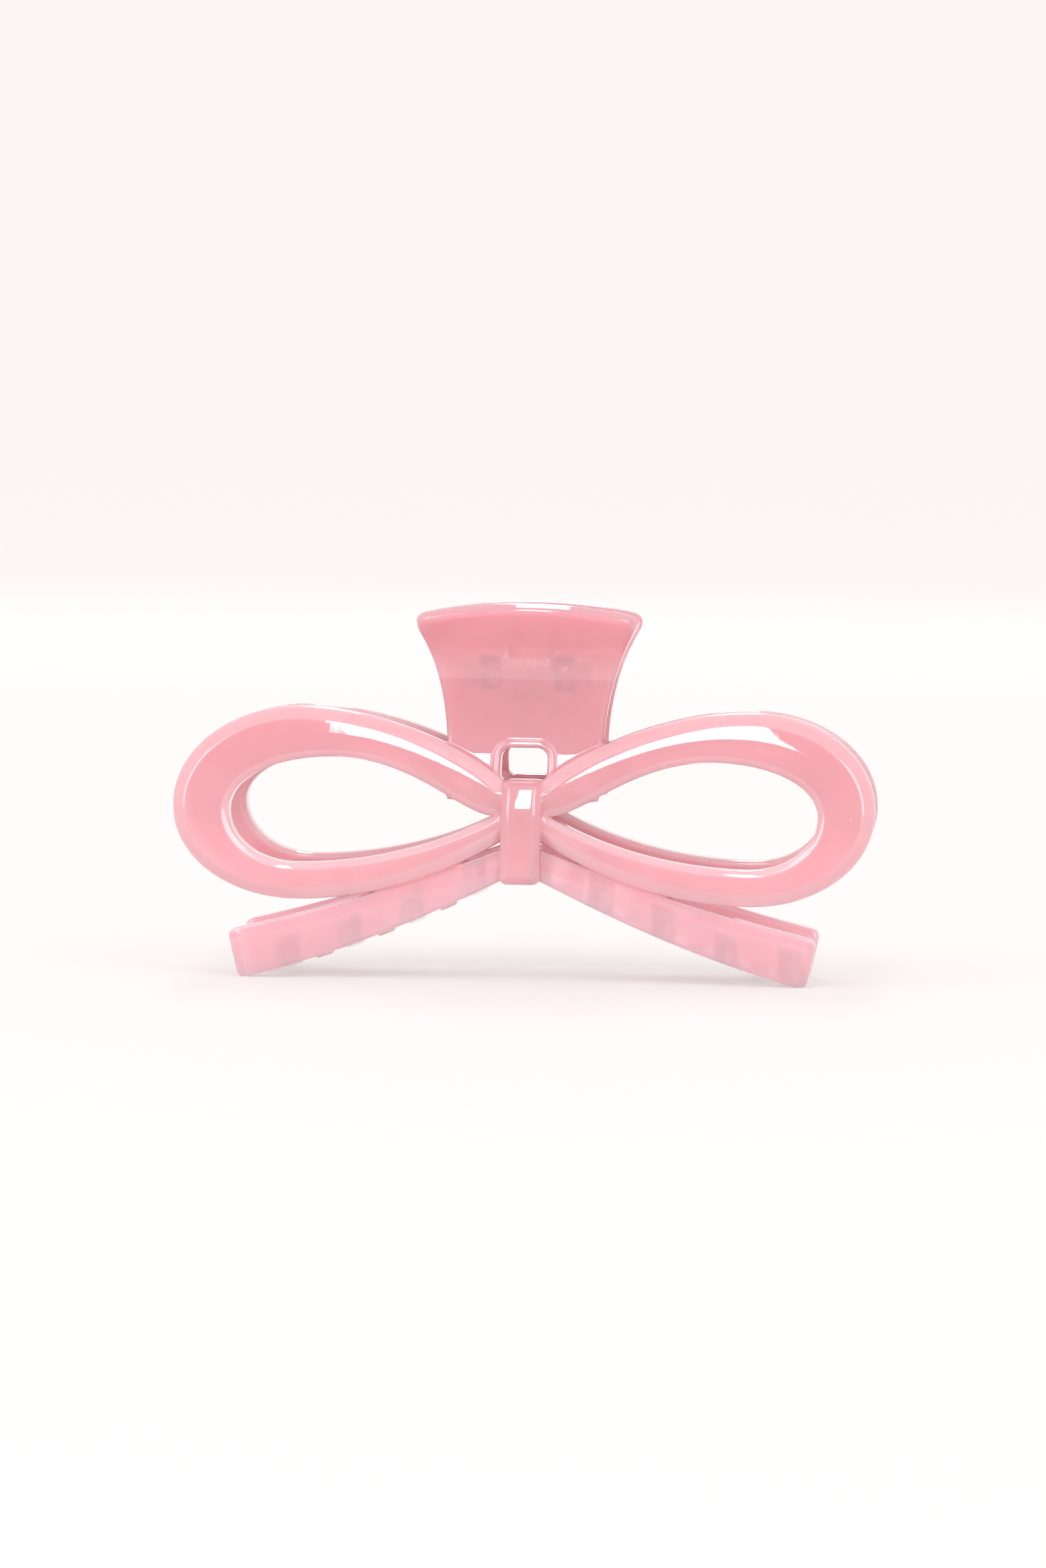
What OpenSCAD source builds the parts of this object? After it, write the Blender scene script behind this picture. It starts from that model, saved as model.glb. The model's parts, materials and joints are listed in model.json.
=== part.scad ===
// Bow claw clip: two moulded jaws, one hinge pin and one torsion spring.
// +X runs along the bow, +Z is up and -Y is the front. The clip stands on its four tail ends
// at z = 0. All sizes are in millimetres.

/* [Bow] */
// Width of the bow from loop tip to loop tip
bow_w = 105; // [90:1:130]
// Height of the loops' crowns above the table
loop_top = 40.6; // [38:0.1:42]
// Height of the loops' lowest point
loop_bottom = 12; // [10:0.1:14]
// Distance from the middle of the bow to a loop's crown
crown_x = 33.8; // [28:0.1:38]
// Height of the loop tips
tip_z = 26.2; // [24:0.1:28]
// Width of the upper strand at its crown
upper_w = 7.4; // [5:0.1:8.5]
// Width of the lower strand under the crown
lower_w = 5.5; // [4:0.1:6.5]
// Width of the strand at the loop tip
tip_w = 8.5; // [6:0.1:10]
// Height where the upper strands' top edge meets the knot
root_top = 30.2; // [29:0.1:32]
// Height of the inner corner of each loop opening
eye_z = 24.9; // [24:0.1:26]
// Height where the lower strands' bottom edge meets the knot
root_bottom = 21.1; // [20.6:0.1:21.6]

/* [Tails] */
// Distance between the outer corners of the two tails
tail_span = 88.4; // [76:0.2:100]
// Height of a tail's upper corner
tail_h = 7.1; // [6:0.1:8]
// Height where a tail's top edge meets the knot
tail_root_top = 20; // [19:0.1:20.4]
// Height where a tail's bottom edge meets the knot
tail_root_bottom = 15.2; // [14:0.1:16]
// How far a tail's end leans in towards its foot
tail_lean = 1.6; // [0.5:0.1:2.5]
// How far the tails lie behind the loops' face
tail_step = 0.7; // [0:0.1:1.2]

/* [Knot] */
// Width of the knot
knot_w = 6; // [5:0.1:8]
// Height of the knot's top
knot_top = 30.3; // [30:0.1:32]
// Height of the knot's bottom
knot_bottom = 14.8; // [13:0.1:15.2]
// How far the knot stands proud of the loops
knot_proud = 1.1; // [0.5:0.1:2]
// Corner radius of the knot
knot_r = 1.1; // [0.5:0.1:2]

/* [Jaw section] */
// Distance from the middle plane to a jaw's widest point
bulge_u = 12.8; // [11:0.1:18]
// Height of the widest point
bulge_z = 17; // [14:0.5:20]
// Distance from the middle plane to the outside of a foot
foot_u = 10.3; // [9:0.1:15]
// Thickness of the bow
band_t = 4.4; // [3:0.1:5]

/* [Thumb tab] */
// Height of the top of the tabs, the height of the whole clip
tab_top = 56.8; // [54:0.1:60]
// Width of a tab at its top
tab_w = 34.6; // [28:0.2:38]
// Width of a tab where it leaves the bow
waist_w = 22.8; // [21:0.2:26]
// Thickness of a tab
tab_t = 2.6; // [2:0.1:3]
// Angle that a tab leans outwards
tab_lean = 30; // [24:1:34]
// How far the tab lies behind the bow's face where it leaves the bow
tab_step = 0.9; // [0.6:0.1:1.6]
// Radius of the curve that leads into the lean
tab_bend = 9; // [6:0.5:11]
// Rise of the curved top edge over its width
tab_rise = 2.2; // [1:0.1:4]

/* [Window] */
// Width of the window above the knot
window_w = 7; // [5:0.1:8]
// Height of the window's top
window_top = 34.9; // [34:0.1:36]
// Radius of the window's upper corners
window_r = 1.6; // [0.8:0.1:2.2]
// Width of the raised rim round the window
rim_w = 1.2; // [1:0.1:2]
// How far the rim stands proud of the tab
rim_proud = 0.5; // [0.2:0.1:0.9]

/* [Hinge] */
// Height of the hinge axis
hinge_z = 46; // [45:0.1:48]
// Diameter of the pin
pin_d = 2; // [1.6:0.1:2.4]
// Length of the pin
pin_len = 20; // [19.6:0.1:22]
// Diameter of a hinge lug
lug_d = 5.2; // [4.6:0.1:5.4]
// Width of one lug
lug_w = 2.6; // [2:0.1:2.7]
// Inner face of the front jaw's lugs, from the middle
lug_x = 4.3; // [4.2:0.1:5]
// Side gap between neighbouring lugs
lug_gap = 0.2; // [0.15:0.05:0.4]
// Radial clearance of the pin in the front jaw, where it stays put
pin_fit = 0.01; // [0.01:0.01:0.03]
// Radial clearance of the pin in the rear jaw, which turns on it
pin_play = 0.05; // [0.03:0.01:0.1]
// Gap between a lug and the tab of the other jaw
lug_clear = 0.4; // [0.3:0.1:0.8]

/* [Spring] */
// Diameter of the spring wire
wire_d = 0.9; // [0.7:0.05:1]
// Outside diameter of the coil
coil_d = 4.9; // [4.4:0.1:5.2]
// Distance from turn to turn
coil_pitch = 1; // [1:0.01:1.05]
// Full turns of the coil, before the last half turn
coil_turns = 7; // [5:1:7]
// Height of the tips of the legs above the hinge axis
leg_h = 5.2; // [4:0.1:7]

/* [Teeth] */
// Width of a tooth
tooth_w = 3.1; // [2:0.1:3.6]
// Distance between two teeth of one jaw
tooth_pitch = 9.4; // [9:0.1:10]
// Number of teeth on a jaw
tooth_count = 9; // [5:2:9]
// How far the tips reach past the middle plane
tooth_cross = 1.6; // [0.5:0.1:3]
// How far the tips hang below the tails' bottom edge
tooth_drop = 0.8; // [0.5:0.1:3]
// Height of a tooth at its root
tooth_h = 4.3; // [3:0.1:4.6]
// Least height of a tooth tip above the table
tooth_lift = 0.3; // [0.2:0.1:1]

/* [Hidden] */
pink = "#F2A9B4";
steel = "#B9B4B4";
steps = 14;             // straight pieces in each curved stretch
round_share = 0.56;     // handle length that makes a quarter turn round
far = 40;               // reach of a cutting or trimming solid
bow_half = bow_w / 2;
knot_half = knot_w / 2;
tail_x = tail_span / 2;
eye_x = knot_half + 1.2;             // inner corner of the opening, beside the knot
eye_crown = crown_x - 5.3;           // the opening is highest nearer to the knot than the loop is
eye_tip = bow_half - tip_w;
eye_top = loop_top - upper_w;
eye_bottom = loop_bottom + lower_w;
eye_mid = (eye_top + eye_bottom) / 2;
waist_u = lug_d / 2 + lug_clear + tab_t;    // outside of the tab at the hinge
tab_low = root_top - 3;                     // the tab's lower end, buried in the bow
lug_root = tab_t / 3;                       // how deep a lug's web reaches into the tab
lean_z = hinge_z + tab_bend * sin(tab_lean);
lean_u = waist_u + tab_bend * (1 - cos(tab_lean));
lean_len = (tab_top - tab_t * sin(tab_lean) - lean_z) / cos(tab_lean);
crown_r = (pow(tab_w / 2, 2) + pow(tab_rise, 2)) / (2 * tab_rise);
coil_r = (coil_d - wire_d) / 2;
coil_x = coil_pitch * (coil_turns + 0.5) / 2;
coil_rings = 14;        // rings of the wire in one turn
wire_sides = 8;
tip_h = 0.9;            // height of a tooth's blunt tip
tip_back = 1.5;         // length of the rounded underside behind the tip
root_share = 0.6;       // share of the bow's thickness that a tooth's root reaches into

// A point on the cubic curve with handles p, at t from 0 to 1
function curve_at(p, t) =
    pow(1 - t, 3) * p[0] + 3 * t * pow(1 - t, 2) * p[1]
    + 3 * t * t * (1 - t) * p[2] + pow(t, 3) * p[3];
// The points of that curve, without the last one
function curve(p) = [for (i = [0 : steps - 1]) curve_at(p, i / steps)];
// The point at t moved sideways by d, to the left of the curve's run
function curve_shift(p, t, d) =
    let (a = curve_at(p, t - 0.001), b = curve_at(p, t + 0.001), v = (b - a) / norm(b - a))
    curve_at(p, t) + d * [-v[1], v[0]];
function curve_side(p, d) = [for (i = [0 : steps]) curve_shift(p, i / steps, d)];
function between(a, b, share) = a + (b - a) * share;
function backwards(points) = [for (i = [len(points) - 1 : -1 : 0]) points[i]];

// Side view of the bow, as [distance from the middle plane, height]
foot_curve = [[foot_u, -1], [between(foot_u, bulge_u, 0.6), between(-1, bulge_z, 0.35)],
    [bulge_u, between(-1, bulge_z, 0.65)], [bulge_u, bulge_z]];
chest_curve = [[bulge_u, bulge_z], [bulge_u, between(bulge_z, hinge_z, 0.31)],
    [between(waist_u, bulge_u, 0.44), between(bulge_z, hinge_z, 0.62)], [waist_u, hinge_z]];
function band(d) = concat(curve_side(foot_curve, d), curve_side(chest_curve, d));
bow_side = [for (p = band(0)) [p[1], p[0]]];
function bow_u(z) = lookup(z, bow_side);

// Side view of the tab: down inside the bow, past the hinge and out along the lean
tab_low_u = bow_u(tab_low) - tab_step;
neck_curve = [[tab_low_u, tab_low],
    [between(tab_low_u, waist_u, 0.72), between(tab_low, hinge_z, 0.3)],
    [waist_u, between(tab_low, hinge_z, 0.6)], [waist_u, hinge_z]];
function lean_arc(d) = [for (i = [0 : steps]) let (a = tab_lean * i / steps)
    [waist_u + tab_bend - (tab_bend + d) * cos(a), hinge_z + (tab_bend + d) * sin(a)]];
function tab_line(d) = concat(curve_side(neck_curve, d), lean_arc(d),
    [[lean_u - d * cos(tab_lean) + far * sin(tab_lean),
      lean_z + d * sin(tab_lean) + far * cos(tab_lean)]]);

// Front view of one side of the bow
loop_points = concat(
    curve([[knot_half, root_top],
        [between(knot_half, crown_x, 0.23), between(root_top, loop_top, 0.55)],
        [between(knot_half, crown_x, 0.65), loop_top], [crown_x, loop_top]]),
    curve([[crown_x, loop_top], [between(crown_x, bow_half, round_share), loop_top],
        [bow_half, between(tip_z, loop_top, round_share)], [bow_half, tip_z]]),
    curve([[bow_half, tip_z], [bow_half, between(tip_z, loop_bottom, round_share)],
        [between(crown_x, bow_half, round_share), loop_bottom], [crown_x, loop_bottom]]),
    curve([[crown_x, loop_bottom], [between(knot_half, crown_x, 0.665), loop_bottom],
        [between(knot_half, crown_x, 0.31), between(root_bottom, loop_bottom, 0.65)],
        [knot_half, root_bottom]]),
    [[knot_half, root_bottom], [0, root_bottom], [0, root_top]]);
eye_points = concat(
    curve([[eye_x, eye_z], [between(eye_x, eye_crown, 0.2), eye_z + 0.1],
        [between(eye_x, eye_crown, 0.5), eye_top], [eye_crown, eye_top]]),
    curve([[eye_crown, eye_top], [between(eye_crown, eye_tip, 0.52), eye_top],
        [eye_tip, between(eye_mid, eye_top, 0.62)], [eye_tip, eye_mid]]),
    curve([[eye_tip, eye_mid], [eye_tip, between(eye_mid, eye_bottom, round_share)],
        [between(crown_x, eye_tip, round_share), eye_bottom], [crown_x, eye_bottom]]),
    curve([[crown_x, eye_bottom], [between(eye_x, crown_x, 0.66), eye_bottom],
        [between(eye_x, crown_x, 0.295), between(eye_z, eye_bottom, 0.66)], [eye_x, eye_z]]));
tail_top_points = curve([[knot_half, tail_root_top],
    [between(knot_half, tail_x, 0.29), between(tail_root_top, tail_h, 0.36)],
    [between(knot_half, tail_x, 0.607), between(tail_root_top, tail_h, 0.713)],
    [tail_x, tail_h]]);
heel_x = tail_x - tail_lean;
heel_z = -0.4;          // the feet are trimmed flat at the table
tail_bottom_points = concat(curve([[knot_half, tail_root_bottom],
    [between(knot_half, heel_x, 0.3), between(tail_root_bottom, heel_z, 0.38)],
    [between(knot_half, heel_x, 0.606), between(tail_root_bottom, heel_z, 0.73)],
    [heel_x, heel_z]]), [[heel_x, heel_z]]);
function tail_under(x) = lookup(x, tail_bottom_points);

// Solid with the given front view, from the middle plane out to the front
module front_view() {
    rotate([90, 0, 0]) linear_extrude(far) children();
}
// Solid with the given side view, right across the clip
module side_view(width) {
    rotate([90, 0, -90]) linear_extrude(width, center = true) children();
}
module both_sides() {
    children();
    mirror([1, 0, 0]) children();
}

// The curved sheet that the bow is cut from, with its face moved out by proud
module bow_sheet(proud) {
    intersection() {
        side_view(bow_w + 2)
            polygon(concat(band(-proud), backwards(band(band_t))));
        translate([-far * 2, -far, 0]) cube([far * 4, far * 2, far * 2]);
    }
}

module loops() {
    intersection() {
        bow_sheet(0);
        front_view() both_sides() difference() {
            polygon(loop_points);
            polygon(eye_points);
        }
    }
}

module tails() {
    intersection() {
        bow_sheet(-tail_step);
        front_view() both_sides() polygon(concat(
            [[0, tail_root_top]], tail_top_points, [[tail_x, tail_h]],
            backwards(tail_bottom_points), [[0, tail_root_bottom]]));
    }
}

module knot() {
    intersection() {
        bow_sheet(knot_proud);
        front_view() hull() both_sides() for (z = [knot_bottom + knot_r, knot_top - knot_r])
            translate([knot_half - knot_r, z]) circle(knot_r, $fn = 32);
    }
}

module tab_plate(proud) {
    intersection() {
        side_view(tab_w + 2) polygon(concat(tab_line(-proud), backwards(tab_line(tab_t))));
        // the curved top edge, square to the leaning tab
        translate([0, -lean_u, lean_z]) rotate([90 + tab_lean, 0, 0])
            translate([0, lean_len - crown_r, 0])
                cylinder(r = crown_r, h = far * 2, center = true, $fn = 96);
    }
}

module tab() {
    side_curve = [[waist_w / 2, tab_low], [waist_w / 2, between(tab_low, tab_top, 0.46)],
        [between(waist_w, tab_w, 0.27) / 2, between(tab_low, tab_top, 0.69)],
        [tab_w / 2, tab_top - tab_rise]];
    intersection() {
        tab_plate(0);
        front_view() both_sides()
            polygon(concat([[0, tab_low]], curve(side_curve), [[tab_w / 2, tab_top - tab_rise],
                [tab_w / 2, tab_top + 1], [0, tab_top + 1]]));
    }
}

// Front view of the window, widened all round by the given amount
module window_shape(wider) {
    half = window_w / 2 + wider;
    corner = window_r + wider;
    translate([-half, knot_top - 2])
        square([2 * half, window_top + wider - corner - knot_top + 2]);
    hull() both_sides() translate([half - corner, window_top + wider - corner])
        circle(corner, $fn = 32);
}

module window_rim() {
    intersection() {
        tab_plate(rim_proud);
        front_view() window_shape(rim_w);
    }
}

// One hinge lug, between x0 and x0 + lug_w, joined to the tab behind it
module lug(x0) {
    translate([x0, 0, hinge_z]) {
        rotate([0, 90, 0]) cylinder(d = lug_d, h = lug_w, $fn = 64);
        translate([0, -lug_d / 2 - lug_clear - lug_root, -lug_d / 2])
            cube([lug_w, lug_d / 2 + lug_clear + lug_root, lug_d]);
    }
}

module pin_bore(clearance) {
    translate([0, 0, hinge_z]) rotate([0, 90, 0])
        cylinder(d = pin_d + 2 * clearance, h = pin_len + 4, center = true, $fn = 64);
}

// Side view of one tooth, with z = 0 at the tail's bottom edge
function tooth_points(root_u) = concat(
    curve([[root_u, tooth_h], [between(root_u, 0, 0.5), tooth_h],
        [between(root_u, 0, 0.85), tooth_h * 0.5], [-tooth_cross, tip_h - tooth_drop]]),
    curve([[-tooth_cross, tip_h - tooth_drop], [-tooth_cross - 0.2, 0.1 - tooth_drop],
        [tip_back - tooth_cross - tip_h, -tooth_drop], [tip_back - tooth_cross, -tooth_drop]]),
    curve([[tip_back - tooth_cross, -tooth_drop], [between(root_u, 0, 0.6), -tooth_drop * 0.5],
        [between(root_u, 0, 0.3), 0.2], [root_u, 0.2]]),
    [[root_u, 0.2]]);

// Teeth half a step off the middle, so that the other jaw's fall between them
module teeth() {
    for (i = [0 : tooth_count - 1]) {
        x = tooth_pitch * (i - (tooth_count - 1) / 2 + 0.25);
        z = max(tail_under(abs(x)), tooth_drop + tooth_lift);
        root_u = bow_u(z + tooth_h / 2) - tail_step - band_t * root_share;
        translate([x, 0, z]) side_view(tooth_w) polygon(tooth_points(root_u));
    }
}

// A jaw on the front side, with its lugs from x0 outwards
module jaw(x0, clearance) {
    difference() {
        union() {
            loops();
            tails();
            knot();
            difference() {
                union() {
                    tab();
                    window_rim();
                }
                front_view() window_shape(0);
            }
            both_sides() lug(x0);
            teeth();
        }
        pin_bore(clearance);
    }
}

module front_jaw() {
    color(pink) jaw(lug_x, pin_fit);
}

module rear_jaw() {
    color(pink) rotate([0, 0, 180]) jaw(lug_x + lug_w + lug_gap, pin_play);
}

module hinge_pin() {
    color(steel) translate([0, 0, hinge_z]) rotate([0, 90, 0])
        cylinder(d = pin_d, h = pin_len, center = true, $fn = 64);
}

// Middle line of the spring wire: down the front leg, round the coil and up the rear leg
leg_reach = waist_u - tab_t - wire_d / 2 + leg_h * 0.1;
wire_path = concat(
    [[coil_x, -leg_reach, leg_h], [coil_x, -between(coil_r, leg_reach, 0.4), leg_h * 0.5]],
    [for (i = [0 : coil_rings * (coil_turns + 0.5)]) let (a = 360 * i / coil_rings)
        [coil_x - coil_pitch * i / coil_rings, -coil_r * cos(a), -coil_r * sin(a)]],
    [[-coil_x, between(coil_r, leg_reach, 0.4), leg_h * 0.5], [-coil_x, leg_reach, leg_h]]);
function unit(v) = v / norm(v);
function wire_ring(i) =
    let (last = len(wire_path) - 1,
        along = unit(wire_path[min(i + 1, last)] - wire_path[max(i - 1, 0)]),
        side = unit([1, 0, 0] - along[0] * along), up = cross(along, side))
    [for (k = [0 : wire_sides - 1]) let (a = 360 * k / wire_sides)
        wire_path[i] + wire_d / 2 * (cos(a) * side + sin(a) * up)];

module torsion_spring() {
    rings = len(wire_path);
    points = [for (i = [0 : rings - 1]) each wire_ring(i)];
    walls = [for (i = [0 : rings - 2], k = [0 : wire_sides - 1])
        let (n = (k + 1) % wire_sides, a = i * wire_sides, b = a + wire_sides)
        [a + k, b + k, b + n, a + n]];
    ends = [[for (k = [0 : wire_sides - 1]) k],
        [for (k = [wire_sides - 1 : -1 : 0]) (rings - 1) * wire_sides + k]];
    color(steel) translate([0, 0, hinge_z]) polyhedron(points, concat(walls, ends));
}

front_jaw();
rear_jaw();
hinge_pin();
torsion_spring();
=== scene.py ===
"""Looks of the bow claw clip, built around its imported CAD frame.

Lengths are in millimetres until a mesh is made, and metres after that. A jaw is worked out as a
distance field on a grid, in its own axes: x along the bow, u out from the middle plane, z up.
"""
import json
import math

import bpy
import numpy as np
import openvdb
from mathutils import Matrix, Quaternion, Vector


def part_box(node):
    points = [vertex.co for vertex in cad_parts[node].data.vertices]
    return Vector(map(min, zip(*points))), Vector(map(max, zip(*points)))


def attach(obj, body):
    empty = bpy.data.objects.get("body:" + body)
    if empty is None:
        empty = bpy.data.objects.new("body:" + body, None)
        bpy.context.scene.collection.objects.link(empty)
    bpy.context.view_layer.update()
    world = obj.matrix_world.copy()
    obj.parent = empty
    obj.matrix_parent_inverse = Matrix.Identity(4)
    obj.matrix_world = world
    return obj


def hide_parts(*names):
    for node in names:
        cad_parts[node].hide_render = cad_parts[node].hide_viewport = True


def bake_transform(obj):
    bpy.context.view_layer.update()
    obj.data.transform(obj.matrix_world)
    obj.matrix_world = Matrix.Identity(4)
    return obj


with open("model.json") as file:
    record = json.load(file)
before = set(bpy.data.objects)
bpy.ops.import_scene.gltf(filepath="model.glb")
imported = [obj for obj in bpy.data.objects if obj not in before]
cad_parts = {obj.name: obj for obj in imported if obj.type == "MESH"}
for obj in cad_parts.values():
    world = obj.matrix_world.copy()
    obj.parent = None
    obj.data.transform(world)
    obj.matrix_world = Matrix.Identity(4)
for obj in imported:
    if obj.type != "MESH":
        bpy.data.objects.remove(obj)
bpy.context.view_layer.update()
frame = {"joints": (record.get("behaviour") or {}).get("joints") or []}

MM = 0.001
VOXEL = 0.22

# ---------------------------------------------------------------- sizes from the frame
jaw_low, jaw_high = [np.array(corner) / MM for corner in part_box("front_jaw")]
pin_low, pin_high = [np.array(corner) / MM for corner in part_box("hinge_pin")]
spring_low, spring_high = [np.array(corner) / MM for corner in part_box("torsion_spring")]
hinge = next(j for j in frame["joints"] if j["name"] == "jaw_hinge")
HINGE_Z = hinge["pos_m"][2] / MM
BOW_HALF = jaw_high[0]
TAB_TOP = jaw_high[2]
PIN_R = (pin_high[2] - pin_low[2]) / 2
PIN_HALF = pin_high[0]
WIRE_R, COIL_R = 0.45, 2.0
LEG_U = spring_high[1] - WIRE_R
LEG_Z = spring_high[2] - HINGE_Z - 0.3    # so that the wire's end stays inside the CAD's box

# ---------------------------------------------------------------- shape of a jaw
LOOP_TOP, LOOP_BOTTOM = 40.6, 12.0
CROWN_X, TIP_Z = 33.8, 26.2
UPPER_W, LOWER_W, TIP_W = 7.4, 5.5, 8.5
ROOT_TOP, ROOT_BOTTOM, EYE_Z = 30.2, 21.1, 24.9
TAIL_X, TAIL_H, TAIL_LEAN = 44.2, 7.1, 1.6
TAIL_ROOT_TOP, TAIL_ROOT_BOTTOM, TAIL_STEP = 20.0, 15.2, 0.7
KNOT_HALF, KNOT_TOP, KNOT_BOTTOM, KNOT_PROUD = 3.0, 30.3, 14.8, 1.1
BAND_T, TAB_T = 4.4, 2.6
BULGE_U, BULGE_Z, FOOT_U = -jaw_low[1] - KNOT_PROUD, 17.0, 10.3
TAB_HALF, WAIST_HALF, TAB_LEAN, TAB_BEND, TAB_RISE = 17.5, 11.4, math.radians(30), 9.0, 2.2
WINDOW_HALF, WINDOW_TOP, RIM_W, RIM_PROUD = 3.5, 34.9, 1.2, 0.5
WINDOW_BOTTOM = KNOT_TOP - 3    # hidden behind the knot
LUG_R, LUG_W, LUG_X, LUG_GAP, LUG_CLEAR = 2.6, 2.6, 4.3, 0.2, 0.4
TOOTH_W, TOOTH_PITCH, TOOTH_COUNT = 3.1, 9.4, 9
TOOTH_CROSS, TOOTH_DROP, TOOTH_H, TOOTH_LIFT, TOOTH_TAPER = 1.6, 0.8, 4.3, 0.3, 0.03
WAIST_U = LUG_R + LUG_CLEAR + TAB_T
TAB_LOW, TAB_SET = ROOT_TOP - 3, 0.9
LUG_SINK = 0.9      # how far the lugs' webs reach into the tab
CROWN, BORE_GAP = 0.3, 0.08
KNOT_CROWN, KNOT_BEND, KNOT_BEND_Z = 0.014, 0.045, 25
FAR = 80.0          # well outside the jaw
TEETH_TOP = 24.0    # between the highest tooth and the lugs

# Bevels: how far each runs in from the edge, and how deep it is at the edge
LOOP_BEVEL, LOOP_BEVEL_D = 1.9, 0.95
EYE_BEVEL, EYE_BEVEL_D = 1.0, 0.5
FACET_ROOT, FACET_END, FACET_D = 2.9, 1.4, 0.8
UNDER_BEVEL, UNDER_BEVEL_D = 0.35, 0.3
KNOT_BEVEL, KNOT_BEVEL_D = 1.1, 0.6
TAB_BEVEL, TAB_BEVEL_D = 0.45, 0.3
RIM_BEVEL, RIM_BEVEL_D = 0.5, 0.35

# Rounding radii of edges, corners and the joins between a jaw's parts
BACK_R, TAIL_END_R, FOOT_R = 0.9, 1.6, 0.2
KNOT_CORNER_R, WINDOW_CORNER_R, TAB_CORNER_R = 1.1, 1.6, 2.8
JOIN_R, SEAM_R, TAB_JOIN_R, LUG_JOIN_R, TOOTH_JOIN_R = 0.3, 0.2, 0.45, 0.5, 0.8
RIM_JOIN_R, LUG_EDGE_R, TOOTH_EDGE_R = 0.5, 0.5, 0.4

# Painted light: extra paleness of the loops' bevels, the tails' facets and the tab at hinge height,
# standing in for light that comes through the thin plastic
PAINTED_LIGHT_BEVEL, PAINTED_LIGHT_FACET, PAINTED_LIGHT_HINGE_BAND = 0.4, 0.3, 0.2
CHART_STEP = 0.12
SMOOTH_ROUNDS = 3


def make_mesh(name, points, faces):
    """New smooth object from points in metres and lists of point numbers."""
    mesh = bpy.data.meshes.new(name)
    mesh.from_pydata(points.tolist(), [], faces)
    mesh.update()
    mesh.shade_smooth()
    obj = bpy.data.objects.new(name, mesh)
    bpy.context.collection.objects.link(obj)
    return obj


def turn_angles(sides):
    return np.arange(sides) * 2 * math.pi / sides


def bands(rows, sides):
    """Quads that join ring i of points to ring i + 1, for each i in rows."""
    return [[i * sides + j, i * sides + (j + 1) % sides, (i + 1) * sides + (j + 1) % sides,
             (i + 1) * sides + j] for i in rows for j in range(sides)]


def mix(a, b, share):
    return a + (b - a) * share


def curve(p0, p1, p2, p3, steps=40):
    """Points of a cubic curve, without its last one."""
    t = np.arange(steps)[:, None] / steps
    p0, p1, p2, p3 = (np.array(p, float) for p in (p0, p1, p2, p3))
    return (1 - t) ** 3 * p0 + 3 * t * (1 - t) ** 2 * p1 + 3 * t * t * (1 - t) * p2 + t ** 3 * p3


def region(points, a, b):
    """Signed distance to a closed outline at the points (a, b), negative inside."""
    points = np.asarray(points, float)
    near = np.full(np.broadcast(a, b).shape, 1e9)
    inside = np.zeros(near.shape, bool)
    for (ax, ay), (bx, by) in zip(points, np.roll(points, -1, axis=0)):
        ex, ey = bx - ax, by - ay
        if ex == 0 and ey == 0:
            continue
        t = np.clip(((a - ax) * ex + (b - ay) * ey) / (ex * ex + ey * ey), 0, 1)
        near = np.minimum(near, (a - ax - t * ex) ** 2 + (b - ay - t * ey) ** 2)
        if ey != 0:
            crosses = ((ay <= b) & (b < by)) | ((by <= b) & (b < ay))
            inside ^= crosses & (a < ax + (b - ay) * ex / ey)
    return np.where(inside, -1, 1) * np.sqrt(near)


class Chart:
    """Distances to outlines, worked out once on a fine net and read between its knots."""

    def __init__(self, outlines, low, high, step):
        self.low, self.step = np.array(low, np.float32), np.float32(step)
        a = np.arange(low[0], high[0] + step, step)[:, None]
        b = np.arange(low[1], high[1] + step, step)[None, :]
        self.values = np.stack([region(o, a, b) for o in outlines]).astype(np.float32)

    def at(self, a, b, which):
        """Distance to the outline of that number at the points (a, b)."""
        i = np.clip((a - self.low[0]) / self.step, 0, self.values.shape[1] - 1.001)
        j = np.clip((b - self.low[1]) / self.step, 0, self.values.shape[2] - 1.001)
        i0, j0 = i.astype(np.int32), j.astype(np.int32)
        i, j = i - i0, j - j0
        v = self.values
        return (v[which, i0, j0] * (1 - i) * (1 - j) + v[which, i0 + 1, j0] * i * (1 - j)
                + v[which, i0, j0 + 1] * (1 - i) * j + v[which, i0 + 1, j0 + 1] * i * j)


def soft_min(a, b, r):
    """The smaller of two fields, with a fillet of about radius r where they meet."""
    h = np.clip(0.5 + 0.5 * (b - a) / r, 0, 1)
    return b + (a - b) * h - r * h * (1 - h)


def soft_max(a, b, r):
    """The larger of two fields, with an edge rounded to about radius r where they meet."""
    return -soft_min(-a, -b, r)


def bevelled(edge, face, width, depth, r=0.3, crease=0.07):
    """Where edge meets face, cut off by a flat of the given width and depth."""
    flat = (edge * depth + face * width + width * depth) / np.hypot(width, depth)
    return soft_max(soft_max(face, flat, crease), edge, r)


# ---------------------------------------------------------------- outlines
# The shares given to mix() place the handles of each curve between its ends.
def side_of_bow():
    """Outer face of the bow seen from the side, from its feet up to the hinge."""
    low = curve((FOOT_U, -1), (mix(FOOT_U, BULGE_U, 0.6), mix(-1, BULGE_Z, 0.35)),
                (BULGE_U, mix(-1, BULGE_Z, 0.65)), (BULGE_U, BULGE_Z))
    high = curve((BULGE_U, BULGE_Z), (BULGE_U, mix(BULGE_Z, HINGE_Z, 0.31)),
                 (mix(WAIST_U, BULGE_U, 0.44), mix(BULGE_Z, HINGE_Z, 0.62)), (WAIST_U, HINGE_Z))
    return np.vstack([low, high, [(WAIST_U, HINGE_Z)]])


BOW_SIDE = side_of_bow()


def bow_u(z):
    return float(np.interp(z, BOW_SIDE[:, 1], BOW_SIDE[:, 0]))


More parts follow.
